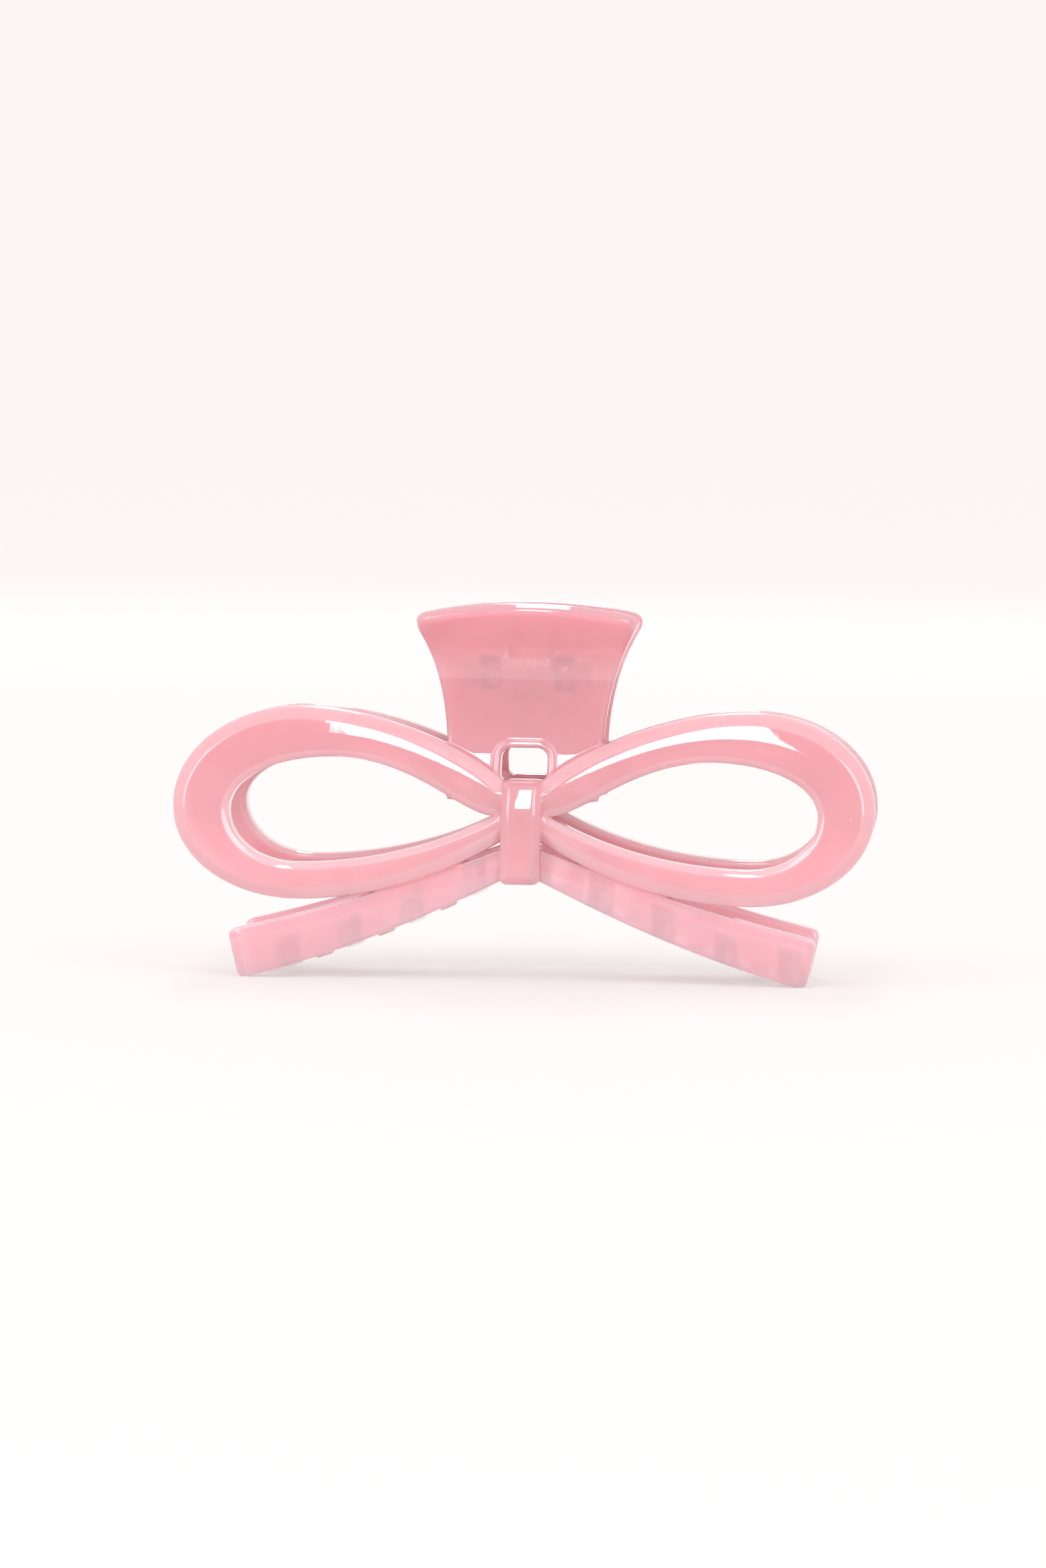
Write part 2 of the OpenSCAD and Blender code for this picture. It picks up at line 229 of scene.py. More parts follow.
def side_of_tab():
    """Outer face of the tab seen from the side, and where its straight lean starts."""
    start = bow_u(TAB_LOW) - TAB_SET
    neck = curve((start, TAB_LOW), (mix(start, WAIST_U, 0.72), mix(TAB_LOW, HINGE_Z, 0.3)),
                 (WAIST_U, mix(TAB_LOW, HINGE_Z, 0.6)), (WAIST_U, HINGE_Z))
    a = np.linspace(0, TAB_LEAN, 30)
    bend = np.stack([WAIST_U + TAB_BEND * (1 - np.cos(a)), HINGE_Z + TAB_BEND * np.sin(a)], axis=1)
    lean = bend[-1] + FAR * np.array([math.sin(TAB_LEAN), math.cos(TAB_LEAN)])
    return np.vstack([neck, bend, [lean]]), bend[-1]


TAB_SIDE, LEAN_START = side_of_tab()


def quarter(share, corner, a, b):
    """Points of a quarter turn from a to b, with handles a share of the way to the corner."""
    return curve(a, mix(np.array(a), np.array(corner), share),
                 mix(np.array(b), np.array(corner), share), b)


def loop_outline():
    return np.vstack([
        curve((KNOT_HALF, ROOT_TOP),
              (mix(KNOT_HALF, CROWN_X, 0.23), mix(ROOT_TOP, LOOP_TOP, 0.55)),
              (mix(KNOT_HALF, CROWN_X, 0.65), LOOP_TOP), (CROWN_X, LOOP_TOP)),
        quarter(0.56, (BOW_HALF, LOOP_TOP), (CROWN_X, LOOP_TOP), (BOW_HALF, TIP_Z)),
        quarter(0.56, (BOW_HALF, LOOP_BOTTOM), (BOW_HALF, TIP_Z), (CROWN_X, LOOP_BOTTOM)),
        curve((CROWN_X, LOOP_BOTTOM), (mix(KNOT_HALF, CROWN_X, 0.665), LOOP_BOTTOM),
              (mix(KNOT_HALF, CROWN_X, 0.31), mix(ROOT_BOTTOM, LOOP_BOTTOM, 0.65)),
              (KNOT_HALF, ROOT_BOTTOM)),
        [(KNOT_HALF, ROOT_BOTTOM), (-1, ROOT_BOTTOM), (-1, ROOT_TOP)]])


def eye_outline():
    x0, crown, tip = KNOT_HALF + 1.2, CROWN_X - 5.3, BOW_HALF - TIP_W
    top, bottom = LOOP_TOP - UPPER_W, LOOP_BOTTOM + LOWER_W
    mid = (top + bottom) / 2
    return np.vstack([
        curve((x0, EYE_Z), (mix(x0, crown, 0.2), EYE_Z + 0.1), (mix(x0, crown, 0.5), top),
              (crown, top)),
        curve((crown, top), (mix(crown, tip, 0.52), top), (tip, mix(mid, top, 0.62)), (tip, mid)),
        quarter(0.56, (tip, bottom), (tip, mid), (CROWN_X, bottom)),
        curve((CROWN_X, bottom), (mix(x0, CROWN_X, 0.66), bottom),
              (mix(x0, CROWN_X, 0.295), mix(EYE_Z, bottom, 0.66)), (x0, EYE_Z))])


def tail_edges():
    """Upper and lower edge of a tail, from the knot outwards."""
    top = curve((KNOT_HALF, TAIL_ROOT_TOP),
                (mix(KNOT_HALF, TAIL_X, 0.29), mix(TAIL_ROOT_TOP, TAIL_H, 0.36)),
                (mix(KNOT_HALF, TAIL_X, 0.607), mix(TAIL_ROOT_TOP, TAIL_H, 0.713)),
                (TAIL_X, TAIL_H))
    heel_x, heel_z = TAIL_X - TAIL_LEAN, -0.4
    under = curve((KNOT_HALF, TAIL_ROOT_BOTTOM),
                  (mix(KNOT_HALF, heel_x, 0.3), mix(TAIL_ROOT_BOTTOM, heel_z, 0.38)),
                  (mix(KNOT_HALF, heel_x, 0.606), mix(TAIL_ROOT_BOTTOM, heel_z, 0.73)),
                  (heel_x, heel_z))
    return np.vstack([top, [(TAIL_X, TAIL_H)]]), np.vstack([under, [(heel_x, heel_z)]])


TAIL_TOP_EDGE, TAIL_UNDER_EDGE = tail_edges()


def tab_sides():
    waist = curve((WAIST_HALF, TAB_LOW), (WAIST_HALF, mix(TAB_LOW, TAB_TOP, 0.46)),
                  (mix(WAIST_HALF, TAB_HALF, 0.27), mix(TAB_LOW, TAB_TOP, 0.69)),
                  (TAB_HALF, TAB_TOP - TAB_RISE))
    return np.vstack([[(-FAR, TAB_LOW - 10), (WAIST_HALF, TAB_LOW - 10)], waist,
                      [(TAB_HALF + 0.2, TAB_TOP - TAB_RISE), (TAB_HALF + 3, FAR), (-FAR, FAR)]])


def tooth_places():
    """Middle, level and root of each tooth."""
    at = TOOTH_PITCH * (np.arange(TOOTH_COUNT) - (TOOTH_COUNT - 1) / 2 + 0.25)
    low = np.maximum(under_tail(at), TOOTH_DROP + TOOTH_LIFT)
    root = np.array([bow_u(z + TOOTH_H / 2) - TAIL_STEP - BAND_T * 0.6 for z in low])
    return at, low, root


def under_tail(x):
    return np.interp(np.abs(x), *TAIL_UNDER_EDGE.T)


def tooth_outline(root):
    tip = -TOOTH_CROSS
    return np.vstack([
        curve((root, TOOTH_H), (root * 0.5, TOOTH_H), (root * 0.15, TOOTH_H * 0.5),
              (tip, 0.9 - TOOTH_DROP), 16),
        curve((tip, 0.9 - TOOTH_DROP), (tip - 0.2, 0.1 - TOOTH_DROP), (tip + 0.6, -TOOTH_DROP),
              (tip + 1.4, -TOOTH_DROP), 8),
        curve((tip + 1.4, -TOOTH_DROP), (root * 0.4, -TOOTH_DROP * 0.5), (root * 0.7, 0.2),
              (root, 0.2), 16)])


BOW_OUTLINE = np.vstack([BOW_SIDE, [(WAIST_U, FAR), (-FAR, FAR), (-FAR, -FAR), (FOOT_U - 1, -FAR)]])
TAB_OUTLINE = np.vstack([[(TAB_SIDE[0, 0] + 6, TAB_LOW - 12)], TAB_SIDE,
                         [(-FAR, FAR), (-FAR, TAB_LOW - 12)]])
ABOVE_TAIL = np.vstack([[(-9, TAIL_ROOT_TOP + 5.5)], TAIL_TOP_EDGE, [(FAR, -8), (FAR, -FAR),
                        (-FAR, -FAR), (-FAR, TAIL_ROOT_TOP + 5.5)]])
BELOW_TAIL = np.vstack([[(-9, TAIL_ROOT_BOTTOM + 6.5)], TAIL_UNDER_EDGE, [(FAR, -12), (FAR, FAR),
                        (-FAR, FAR), (-FAR, TAIL_ROOT_BOTTOM + 6.5)]])
TOOTH_AT, TOOTH_LOW, TOOTH_ROOT = tooth_places()
OUTER, EYE, ABOVE, BELOW, SIDES = range(5)
bow_chart = Chart([loop_outline(), eye_outline(), ABOVE_TAIL, BELOW_TAIL, tab_sides()],
                  (-1, -1.5), (BOW_HALF + 1.5, TAB_TOP + 1.5), CHART_STEP)
FACE, TAB_FACE = range(2)
side_chart = Chart([BOW_OUTLINE, TAB_OUTLINE], (-LUG_R - 2, -1.5),
                   (-jaw_low[1] + 1.5, TAB_TOP + 1.5), CHART_STEP)
tooth_chart = Chart([tooth_outline(root) for root in TOOTH_ROOT],
                    (-TOOTH_CROSS - 1.5, -TOOTH_DROP - 1.5), (BULGE_U + 1, TOOTH_H + 1.5),
                    CHART_STEP)


# ---------------------------------------------------------------- parts of the jaw's field
def tail_facet(side):
    """Width of the tail's upper facet, which narrows away from the knot."""
    return mix(FACET_ROOT, FACET_END, np.clip(side / TAIL_X, 0, 1))


def bow_field(x, z, face):
    """Both loops and both tails; face is the distance past the bow's outer face."""
    side = np.abs(x)
    back = -face - BAND_T
    outer = bow_chart.at(side, z, OUTER)
    eye = -bow_chart.at(side, z, EYE)
    across = np.clip((outer - eye) / np.minimum(outer + eye, -0.5), -1, 1)
    top = face + CROWN * across ** 2
    loops = bevelled(outer, top, LOOP_BEVEL, LOOP_BEVEL_D)
    loops = soft_max(loops, bevelled(eye, top, EYE_BEVEL, EYE_BEVEL_D), SEAM_R)
    loops = soft_max(loops, back, BACK_R)

    run = TAIL_TOP_EDGE[-1] - TAIL_UNDER_EDGE[-1]
    run = run / np.linalg.norm(run)
    past_end = (side - TAIL_X) * run[1] - (z - TAIL_H) * run[0]
    above = soft_max(bow_chart.at(side, z, ABOVE), past_end, TAIL_END_R)
    below = soft_max(bow_chart.at(side, z, BELOW), past_end, TAIL_END_R)
    tail_face = face + TAIL_STEP
    tails = bevelled(below, tail_face, UNDER_BEVEL, UNDER_BEVEL_D)
    tails = soft_max(tails, bevelled(above, tail_face, tail_facet(side), FACET_D), JOIN_R)
    tails = soft_max(tails, back, BACK_R)
    tails = soft_max(tails, -z, FOOT_R)
    return soft_min(loops, tails, SEAM_R)


def rounded_box(x, z, half_w, low, high, r):
    """Distance to a rectangle with rounded corners, centred across."""
    qx = np.abs(x) - half_w + r
    qz = np.abs(z - (high + low) / 2) - (high - low) / 2 + r
    return np.hypot(np.maximum(qx, 0), np.maximum(qz, 0)) + np.minimum(np.maximum(qx, qz), 0) - r


def knot_field(x, z, face):
    """Band round the middle, slightly crowned and bending back at its top."""
    edge = rounded_box(x, z, KNOT_HALF, KNOT_BOTTOM, KNOT_TOP, KNOT_CORNER_R)
    crown = KNOT_CROWN * x ** 2 + KNOT_BEND * np.maximum(z - KNOT_BEND_Z, 0) ** 2
    knot = bevelled(edge, face - KNOT_PROUD + crown, KNOT_BEVEL, KNOT_BEVEL_D, 0.4, 0.15)
    return soft_max(knot, -face - BAND_T, BACK_R)


def tab_field(x, u, z, tab_face):
    """Thumb tab with its window and rim."""
    low_end = TAB_LOW - z
    along = (z - LEAN_START[1]) * math.cos(TAB_LEAN) + (u - LEAN_START[0]) * math.sin(TAB_LEAN)
    reach = (TAB_TOP - TAB_T * math.sin(TAB_LEAN) - LEAN_START[1]) / math.cos(TAB_LEAN)
    crown_r = (TAB_HALF ** 2 + TAB_RISE ** 2) / (2 * TAB_RISE)
    crown = np.hypot(x, along - reach + crown_r) - crown_r
    outline = soft_max(bow_chart.at(np.abs(x), z, SIDES), crown, TAB_CORNER_R)
    outline = soft_max(outline, low_end, JOIN_R)
    back = -tab_face - TAB_T
    tab = soft_max(bevelled(outline, tab_face, TAB_BEVEL, TAB_BEVEL_D, 0.5, 0.3), back, BACK_R)
    hole = rounded_box(x, z, WINDOW_HALF, WINDOW_BOTTOM, WINDOW_TOP, WINDOW_CORNER_R)
    proud = tab_face - RIM_PROUD
    rim = bevelled(hole - RIM_W, proud, RIM_BEVEL, RIM_BEVEL_D, 0.3, 0.15)
    rim = soft_max(rim, soft_max(back, low_end, JOIN_R), RIM_JOIN_R)
    tab = soft_min(tab, rim, JOIN_R)
    return soft_max(tab, bevelled(-hole, proud, RIM_BEVEL_D, RIM_BEVEL_D, 0.3, 0.15), JOIN_R)


def lug_field(x, u, z, first):
    """A pair of hinge lugs with the webs that join them to the tab, from first outwards."""
    across = np.abs(np.abs(x) - first - LUG_W / 2) - LUG_W / 2
    up = z - HINGE_Z
    barrel = np.hypot(u, up) - LUG_R
    web = np.maximum(np.abs(up) - LUG_R, np.maximum(-u, u - (WAIST_U - TAB_T + LUG_SINK)))
    return soft_max(soft_min(barrel, web, SEAM_R), across, LUG_EDGE_R)


def teeth_field(x, u, z):
    """All teeth of a jaw, each curving in past the middle plane."""
    which = np.clip(np.round((x - TOOTH_AT[0]) / TOOTH_PITCH), 0, TOOTH_COUNT - 1).astype(int)
    at, low, root = (v.astype(np.float32)[which] for v in (TOOTH_AT, TOOTH_LOW, TOOTH_ROOT))
    slope = (under_tail(x) - under_tail(at)).astype(np.float32)
    side = tooth_chart.at(u, z - low - slope, which)
    across = np.abs(x - at) - TOOTH_W / 2 + TOOTH_TAPER * (root - u)
    return soft_max(side, across, TOOTH_EDGE_R)


def jaw_field(x, u, z, first_lug, high):
    """Distance field of one jaw, in its own axes; high where all points are above the teeth."""
    face = side_chart.at(u, z, FACE)
    jaw = bow_field(x, z, face)
    jaw = soft_min(jaw, tab_field(x, u, z, side_chart.at(u, z, TAB_FACE)), TAB_JOIN_R)
    if high:
        jaw = soft_min(jaw, lug_field(x, u, z, first_lug), LUG_JOIN_R)
    else:
        jaw = soft_min(jaw, teeth_field(x, u, z), TOOTH_JOIN_R)
    jaw = soft_min(jaw, knot_field(x, z, face), SEAM_R)
    return np.maximum(jaw, PIN_R + BORE_GAP - np.hypot(u, z - HINGE_Z))


def surface(first_lug):
    """Points, quads and normals of a jaw: a quad net pulled on to the field's zero."""
    low = np.array([-BOW_HALF, -LUG_R, 0]) - 4 * VOXEL
    far = np.array([BOW_HALF, -jaw_low[1], TAB_TOP]) + 4 * VOXEL
    xs, us, zs = (np.arange(a, b, VOXEL, dtype=np.float32) for a, b in zip(low, far))
    cut = int(np.searchsorted(zs, TEETH_TOP))
    field = np.concatenate([
        jaw_field(xs[:, None, None], us[None, :, None], part[None, None, :], first_lug, high)
        for part, high in ((zs[:cut], False), (zs[cut:], True))], axis=2)
    grid = openvdb.FloatGrid(3 * VOXEL)
    grid.copyFromArray(np.ascontiguousarray(np.clip(field, -3 * VOXEL, 3 * VOXEL), np.float32))
    points, quads = grid.convertToQuads()[:2]
    points = low + points.astype(float) * VOXEL
    edges = np.vstack([quads[:, [0, 1]], quads[:, [1, 2]], quads[:, [2, 3]], quads[:, [3, 0]]])
    count = np.bincount(edges[:, 0], minlength=len(points))[:, None]
    for _ in range(SMOOTH_ROUNDS):
        total = np.stack([np.bincount(edges[:, 0], points[edges[:, 1], k], len(points))
                          for k in range(3)], axis=1)
        points += 0.5 * (total / count - points)
        value, slope = gradient(points, first_lug)
        size = np.linalg.norm(slope, axis=1)
        points -= slope * np.clip(value / np.maximum(size, 0.3) ** 2, -VOXEL, VOXEL)[:, None]
    slope = gradient(points, first_lug)[1]
    return points, quads, slope / np.linalg.norm(slope, axis=1)[:, None]


def gradient(points, first_lug, gap=0.06):
    """Value and slope of the field at points."""
    value, slope = np.empty(len(points)), np.empty(points.shape)
    for high in (False, True):
        part = (points[:, 2] >= TEETH_TOP) == high
        p = points[part].T
        value[part] = jaw_field(*p, first_lug, high)
        for k in range(3):
            step = np.zeros((3, 1))
            step[k] = gap
            slope[part, k] = (jaw_field(*(p + step), first_lug, high)
                              - jaw_field(*(p - step), first_lug, high)) / (2 * gap)
    return value, slope


def painted_light_share(x, z):
    """Share of painted light: the bevels are thin, so more light comes through them; the tails'
    lower facets and the tab at hinge height are painted paler too.
    """
    side = np.abs(x)
    outer, eye = bow_chart.at(side, z, OUTER), -bow_chart.at(side, z, EYE)
    above, below = bow_chart.at(side, z, ABOVE), bow_chart.at(side, z, BELOW)
    on_loop = np.clip(-outer / 0.2, 0, 1)
    bevel = np.maximum(np.clip((outer + LOOP_BEVEL) / 0.25 + 0.5, 0, 1),
                       np.clip((eye + EYE_BEVEL) / 0.25 + 0.5, 0, 1))
    tail = np.clip((-above - tail_facet(side)) / 0.3 + 0.5, 0, 1)
    knot = (side < KNOT_HALF) & (z < KNOT_TOP) & (z > KNOT_BOTTOM)
    tab = (z > LOOP_TOP) | ((side < WAIST_HALF) & (outer > 0) & (z > ROOT_TOP))
    painted_pale = on_loop * bevel * PAINTED_LIGHT_BEVEL + (1 - on_loop) * tail * PAINTED_LIGHT_FACET
    # Painted light: a paler band across the tab at hinge height, where light comes through both
    # tabs.
    painted_hinge_glow = np.clip((z - HINGE_Z + PIN_R) / 0.2, 0, 1) * np.clip((HINGE_Z + 4 - z) / 2, 0, 1)
    return np.where(tab, PAINTED_LIGHT_HINGE_BAND * painted_hinge_glow, np.where(knot, 0, painted_pale))


def make_jaw(name, node, body, first_lug, turned):
    """Jaw mesh on its body; the rear jaw is turned half round Z, the front one faces -Y."""
    points, quads, normals = surface(first_lug)
    turn = np.array([-1, 1, 1]) if turned else np.array([1, -1, 1])
    obj = make_mesh(name, points * turn * MM, quads[:, ::-1].tolist())
    obj.data.normals_split_custom_set_from_vertices((normals * turn).tolist())
    # The edge attribute carries painted light: paler bevels, lower tail facets and the hinge band.
    edge = obj.data.attributes.new("edge", "FLOAT", "POINT")
    edge.data.foreach_set("value", painted_light_share(points[:, 0], points[:, 2]).astype(np.float32))
    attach(obj, body)
    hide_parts(node)
    return obj


front = make_jaw("bow_jaw_front", "front_jaw", "front_body", LUG_X, False)
rear = make_jaw("bow_jaw_rear", "rear_jaw", "rear_body", LUG_X + LUG_W + LUG_GAP, True)


# ---------------------------------------------------------------- hinge pin and spring
def tube(name, path, radius, sides=16):
    """Round wire along a path, drawn in a little at both ends."""
    path = np.asarray(path, float)
    ahead = np.gradient(path, axis=0)
    ahead /= np.linalg.norm(ahead, axis=1)[:, None]
    up = np.array([0.37, 0.61, 0.70])
    rings = []
    a = turn_angles(sides)[:, None]
    for i, (point, along) in enumerate(zip(path, ahead)):
        up = up - along * (up @ along)
        up /= np.linalg.norm(up)
        side = np.cross(along, up)
        end = min(i, len(path) - 1 - i)
        r = radius * (0.75 if end == 0 else 1)
        rings.append(point + r * (np.cos(a) * up + np.sin(a) * side))
    points = np.vstack(rings + [path[:1], path[-1:]])
    total, last = len(path) * sides, (len(path) - 1) * sides
    caps = [[total, (j + 1) % sides, j] for j in range(sides)]
    caps += [[total + 1, last + j, last + (j + 1) % sides] for j in range(sides)]
    return make_mesh(name, points * MM, bands(range(len(path) - 1), sides) + caps)


def make_pin():
    """Straight pin with chamfered ends; its edges stay sharp, as rings there are doubled."""
    chamfer, sides = 0.15, 48
    xs = np.array([-PIN_HALF, -PIN_HALF + chamfer, -PIN_HALF + chamfer, PIN_HALF - chamfer,
                   PIN_HALF - chamfer, PIN_HALF])
    rs = np.array([PIN_R - chamfer, PIN_R, PIN_R, PIN_R, PIN_R, PIN_R - chamfer])
    a = turn_angles(sides)
    rings = [np.stack([np.full(sides, x), r * np.cos(a), HINGE_Z + r * np.sin(a)], axis=1)
             for x, r in zip(xs, rs)]
    ends = [list(range(sides))[::-1], list(range(5 * sides, 6 * sides))]
    return make_mesh("pin", np.vstack(rings) * MM, bands((0, 2, 4), sides) + ends)


def make_spring():
    """Coil with one leg leaning on each tab; it winds up between its two ends."""
    turns, per_turn = 7.5, 36
    coil_x = spring_high[0] - WIRE_R
    a = np.arange(int(turns * per_turn) + 1) * 2 * math.pi / per_turn
    coil = np.stack([coil_x * (1 - a / (turns * math.pi)), -COIL_R * np.cos(a),
                     HINGE_Z - COIL_R * np.sin(a)], axis=1)
    leg = curve((0, -LEG_U, LEG_Z), (0, -LEG_U, LEG_Z * 0.7), (0, -COIL_R, LEG_Z * 0.4),
                (0, -COIL_R, 0), 14)
    first = leg + [coil_x, 0, HINGE_Z]
    last = (leg * [1, -1, 1] + [-coil_x, 0, HINGE_Z])[::-1]
    return tube("spring", np.vstack([first, coil, last]), WIRE_R)


pin = make_pin()
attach(pin, "front_body")
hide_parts("hinge_pin")
spring = make_spring()
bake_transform(spring)
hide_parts("torsion_spring")


# ---------------------------------------------------------------- materials
# Painted light and shade: the pink runs from a paler foot to a deeper tab by height, and a paler
# pink is painted on thin bevels, lower tail facets and the hinge band.
PINK_FOOT_PAINTED_LIGHT = (0.98, 0.52, 0.585, 1)
PINK_MIDDLE = (0.80, 0.435, 0.48, 1)
PINK_TAB_PAINTED_SHADE = (0.80, 0.395, 0.445, 1)
PINK_PAINTED_LIGHT = (1.0, 0.70, 0.74, 1)
DUST = (1.0, 0.95, 0.94, 1)
STEEL = (0.93, 0.91, 0.90, 1)
PAPER = (0.34, 0.32, 0.315, 1)
PAPER_GLOW = (1, 0.97, 0.965, 1)
ROOM = (1, 0.985, 0.98, 1)
PALEST_Z, DEEPEST_Z = 0.006, 0.044    # heights in metres where the pink stops changing


def new_material(name):
    """A new material, with its nodes, links and Principled shader."""
    mat = bpy.data.materials.new(name)
    mat.use_nodes = True
    tree = mat.node_tree
    return mat, tree.nodes, tree.links, tree.nodes["Principled BSDF"]


def set_inputs(node, values):
    for key, value in values.items():
        node.inputs[key].default_value = value


def pink_plastic(name, seed):
    """Milky, slightly clear pink, with painted light and shade: paler towards the feet, where more
    light gets in, and deeper towards the tab.
    """
    mat, nodes, links, skin = new_material(name)
    set_inputs(skin, {
        "Roughness": 0.03, "IOR": 1.49, "Transmission Weight": 0.43, "Subsurface Weight": 1.0,
        "Subsurface Radius": (1.0, 0.6, 0.6), "Subsurface Scale": 0.005, "Coat Weight": 1.0,
        "Coat Roughness": 0.02, "Coat IOR": 1.5})

    # Painted light and shade by height: paler pink at the feet, deeper pink on the tab.
    place = nodes.new("ShaderNodeTexCoord")
    parts = nodes.new("ShaderNodeSeparateXYZ")
    height = nodes.new("ShaderNodeMapRange")
    height.interpolation_type = "SMOOTHSTEP"
    set_inputs(height, {"From Min": PALEST_Z, "From Max": DEEPEST_Z})
    painted_light_by_height = nodes.new("ShaderNodeValToRGB")
    painted_light_by_height.color_ramp.elements[0].color = PINK_FOOT_PAINTED_LIGHT
    painted_light_by_height.color_ramp.elements[1].color = PINK_TAB_PAINTED_SHADE
    painted_light_by_height.color_ramp.elements.new(0.5).color = PINK_MIDDLE
    links.new(place.outputs["Object"], parts.inputs[0])
    links.new(parts.outputs["Z"], height.inputs["Value"])
    links.new(height.outputs["Result"], painted_light_by_height.inputs[0])

    # Painted light: the edge attribute mixes the pink towards a paler pink on thin bevels, lower
    # tail facets and the hinge band.
    edge = nodes.new("ShaderNodeAttribute")
    edge.attribute_name = "edge"
    painted_pale = nodes.new("ShaderNodeMix")
    painted_pale.data_type = "RGBA"
    painted_pale.inputs["B"].default_value = PINK_PAINTED_LIGHT
    links.new(edge.outputs["Fac"], painted_pale.inputs["Factor"])
    links.new(painted_light_by_height.outputs["Color"], painted_pale.inputs["A"])

    cloud = nodes.new("ShaderNodeTexNoise")
    cloud.noise_dimensions = "4D"
    set_inputs(cloud, {"W": seed, "Scale": 180, "Detail": 2})
    shade = nodes.new("ShaderNodeMapRange")
    set_inputs(shade, {"To Min": 0.94, "To Max": 1.06})
    tint = nodes.new("ShaderNodeVectorMath")
    tint.operation = "SCALE"
    links.new(place.outputs["Object"], cloud.inputs["Vector"])
    links.new(cloud.outputs["Fac"], shade.inputs["Value"])
    links.new(painted_pale.outputs["Result"], tint.inputs[0])
    links.new(shade.outputs["Result"], tint.inputs["Scale"])

    dust = nodes.new("ShaderNodeTexVoronoi")
    dust.inputs["Scale"].default_value = 230
    speck = nodes.new("ShaderNodeMapRange")
    set_inputs(speck, {"From Min": 0.022, "From Max": 0.034, "To Min": 0.6, "To Max": 0})
    dusty = nodes.new("ShaderNodeMix")
    dusty.data_type = "RGBA"
    dusty.inputs["B"].default_value = DUST
    links.new(place.outputs["Object"], dust.inputs["Vector"])
    links.new(dust.outputs["Distance"], speck.inputs["Value"])
    links.new(speck.outputs["Result"], dusty.inputs["Factor"])
    links.new(tint.outputs["Vector"], dusty.inputs["A"])
    links.new(dusty.outputs["Result"], skin.inputs["Base Color"])

    wave = nodes.new("ShaderNodeTexNoise")
    wave.noise_dimensions = "4D"
    set_inputs(wave, {"W": seed + 5, "Scale": 350, "Detail": 3})
    bump = nodes.new("ShaderNodeBump")
    set_inputs(bump, {"Strength": 0.12, "Distance": 0.0001})
    links.new(place.outputs["Object"], wave.inputs["Vector"])
    links.new(wave.outputs["Fac"], bump.inputs["Height"])
    links.new(bump.outputs["Normal"], skin.inputs["Coat Normal"])
    return mat


def steel(name):
    """Drawn steel, slightly dull."""
    mat, _, _, skin = new_material(name)
    set_inputs(skin, {"Base Color": STEEL, "Metallic": 1.0, "Roughness": 0.25})
    return mat


front.data.materials.append(pink_plastic("pink_acrylic_front", 1))
rear.data.materials.append(pink_plastic("pink_acrylic_rear", 2))
pin.data.materials.append(steel("pin_steel"))
spring.data.materials.append(steel("spring_steel"))


# ---------------------------------------------------------------- stage, light and camera
def floor():
    """Seamless pale bowl of paper, which glows more where it is far from the clip."""
    flat, radius, top, sides = 3.0, 1.2, 1.7, 96
    line = [(0.02, 0.0), (0.3, 0.0), (1.0, 0.0)]
    line += [(flat + radius * math.sin(a), radius * (1 - math.cos(a)))
             for a in np.linspace(0, math.pi / 2, 24)] + [(flat + radius, top)]
    a = turn_angles(sides)
    points = np.vstack([np.stack([r * np.cos(a), r * np.sin(a), np.full(sides, z)], axis=1)
                        for r, z in line] + [[(0, 0, 0)]])
    middle = [[len(line) * sides, (j + 1) % sides, j] for j in range(sides)]
    obj = make_mesh("floor", points, bands(range(len(line) - 1), sides) + middle)
    mat, nodes, links, skin = new_material("paper")
    set_inputs(skin, {"Base Color": PAPER, "Roughness": 0.8, "Specular IOR Level": 0.1,
                      "Emission Color": PAPER_GLOW})
    place = nodes.new("ShaderNodeNewGeometry")
    reach = nodes.new("ShaderNodeVectorMath")
    reach.operation = "LENGTH"
    glow = nodes.new("ShaderNodeMapRange")
    glow.interpolation_type = "SMOOTHSTEP"
    set_inputs(glow, {"From Min": 0.1, "From Max": 2.4, "To Min": 0.475, "To Max": 0.585})
    links.new(place.outputs["Position"], reach.inputs[0])
    links.new(reach.outputs["Value"], glow.inputs["Value"])
    links.new(glow.outputs["Result"], skin.inputs["Emission Strength"])
    obj.data.materials.append(mat)


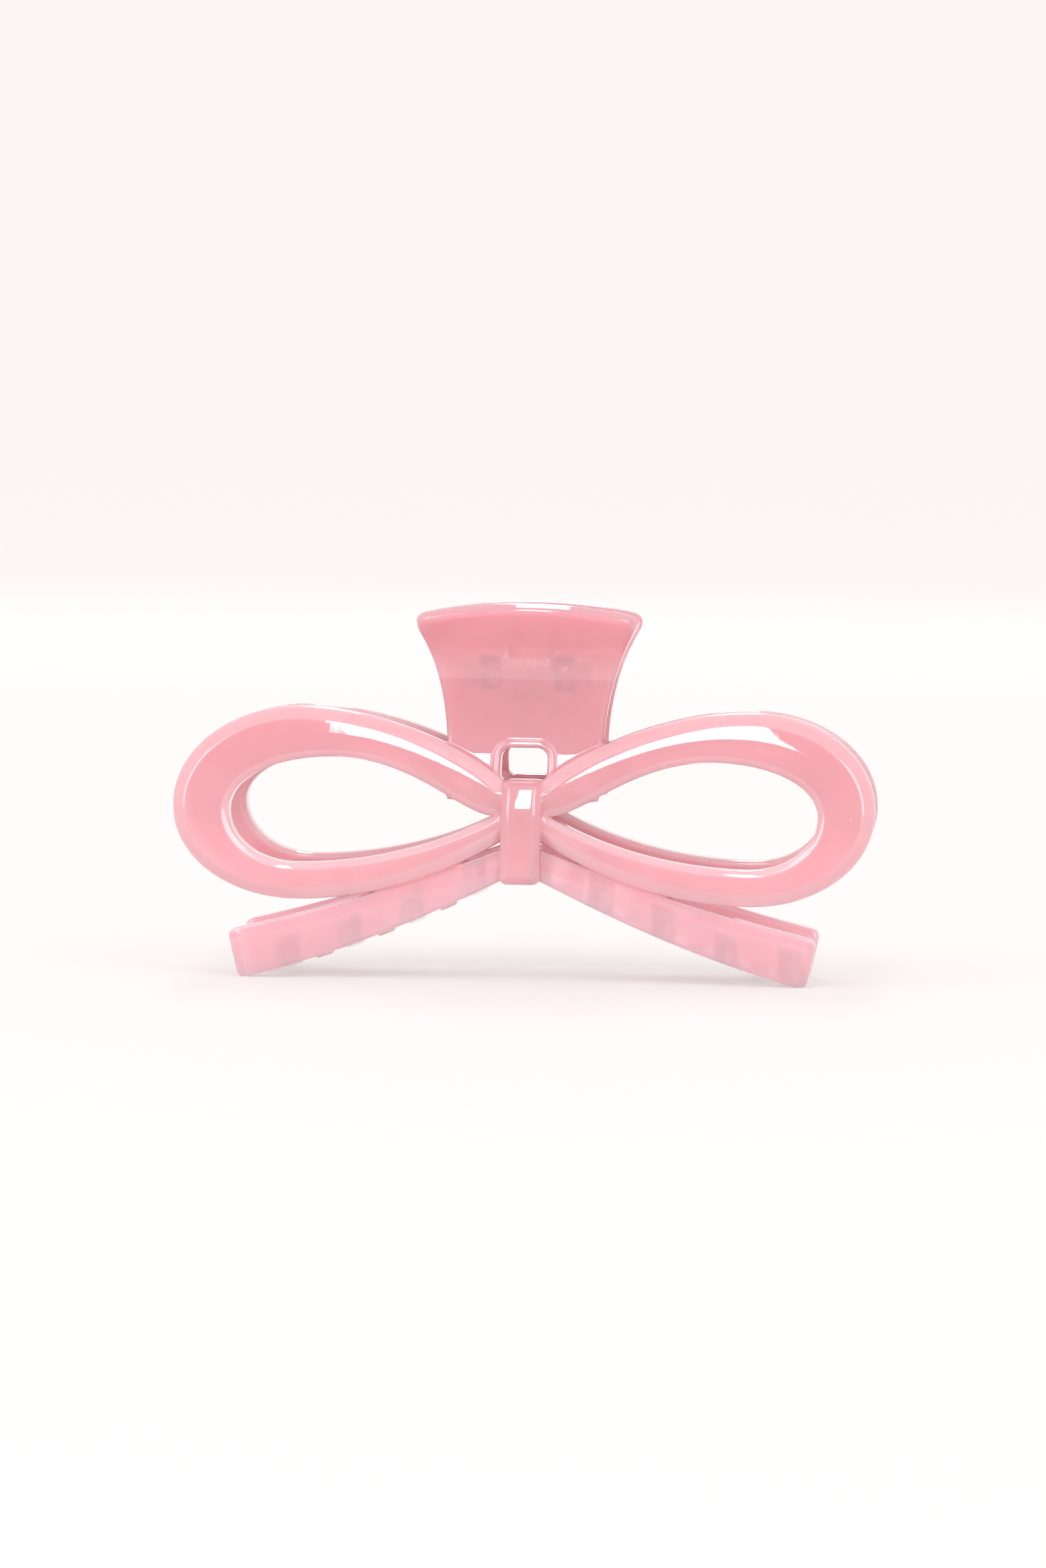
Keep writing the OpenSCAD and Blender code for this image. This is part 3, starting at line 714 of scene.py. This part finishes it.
def direction(azimuth, elevation):
    """Unit vector away from the clip; azimuth 0 is in front of it, and 90 on its right."""
    azimuth, elevation = math.radians(azimuth), math.radians(elevation)
    return Vector((math.sin(azimuth) * math.cos(elevation),
                   -math.cos(azimuth) * math.cos(elevation), math.sin(elevation)))


def aim_at(obj, target, away, distance, roll=0):
    """Places obj at a distance from target in the direction away, facing the target."""
    obj.location = target + away * distance
    obj.rotation_mode = "QUATERNION"
    obj.rotation_quaternion = ((-away).to_track_quat("-Z", "Y")
                               @ Quaternion((0, 0, 1), math.radians(roll)))


def softbox(name, azimuth, elevation, wide, tall, glow, distance=2.5):
    """A light as seen from the clip: its direction and size in degrees, and its radiance."""
    data = bpy.data.lights.new(name, "AREA")
    data.shape = "RECTANGLE"
    data.size = 2 * distance * math.tan(math.radians(wide / 2))
    data.size_y = 2 * distance * math.tan(math.radians(tall / 2))
    data.energy = glow * math.pi * data.size * data.size_y
    obj = bpy.data.objects.new(name, data)
    bpy.context.collection.objects.link(obj)
    aim_at(obj, Vector((0, 0, HINGE_Z * MM)), direction(azimuth, elevation), distance)


def camera():
    """The photo's view, from a fit to the clip's outline in it."""
    distance, view_tall = 0.78, 0.2365    # metres; view_tall is the picture's height at the clip
    target, azimuth, elevation, roll = Vector((-0.0008, 0, 0.0291)), 5.2, 3.3, 0.7
    data = bpy.data.cameras.new("camera")
    data.sensor_width = 36
    data.lens = data.sensor_width * distance / view_tall
    obj = bpy.data.objects.new("camera", data)
    bpy.context.collection.objects.link(obj)
    aim_at(obj, target, direction(azimuth, elevation), distance, roll)
    bpy.context.scene.camera = obj


# Name, azimuth, elevation, width and height in degrees, and radiance
LIGHTS = (("key", -5.2, 47.3, 7.0, 29, 9.0),
          ("left", -46, 34, 30, 36, 2.8),
          ("right", 42, 36, 30, 36, 2.8),
          ("back", -174.3, 51, 7.5, 33, 8.0))

floor()
for light in LIGHTS:
    softbox(*light)
camera()
world = bpy.data.worlds.new("world")
bpy.context.scene.world = world
world.use_nodes = True
set_inputs(world.node_tree.nodes["Background"], {"Color": ROOM, "Strength": 1.0})
bpy.context.scene.view_settings.view_transform = "Standard"
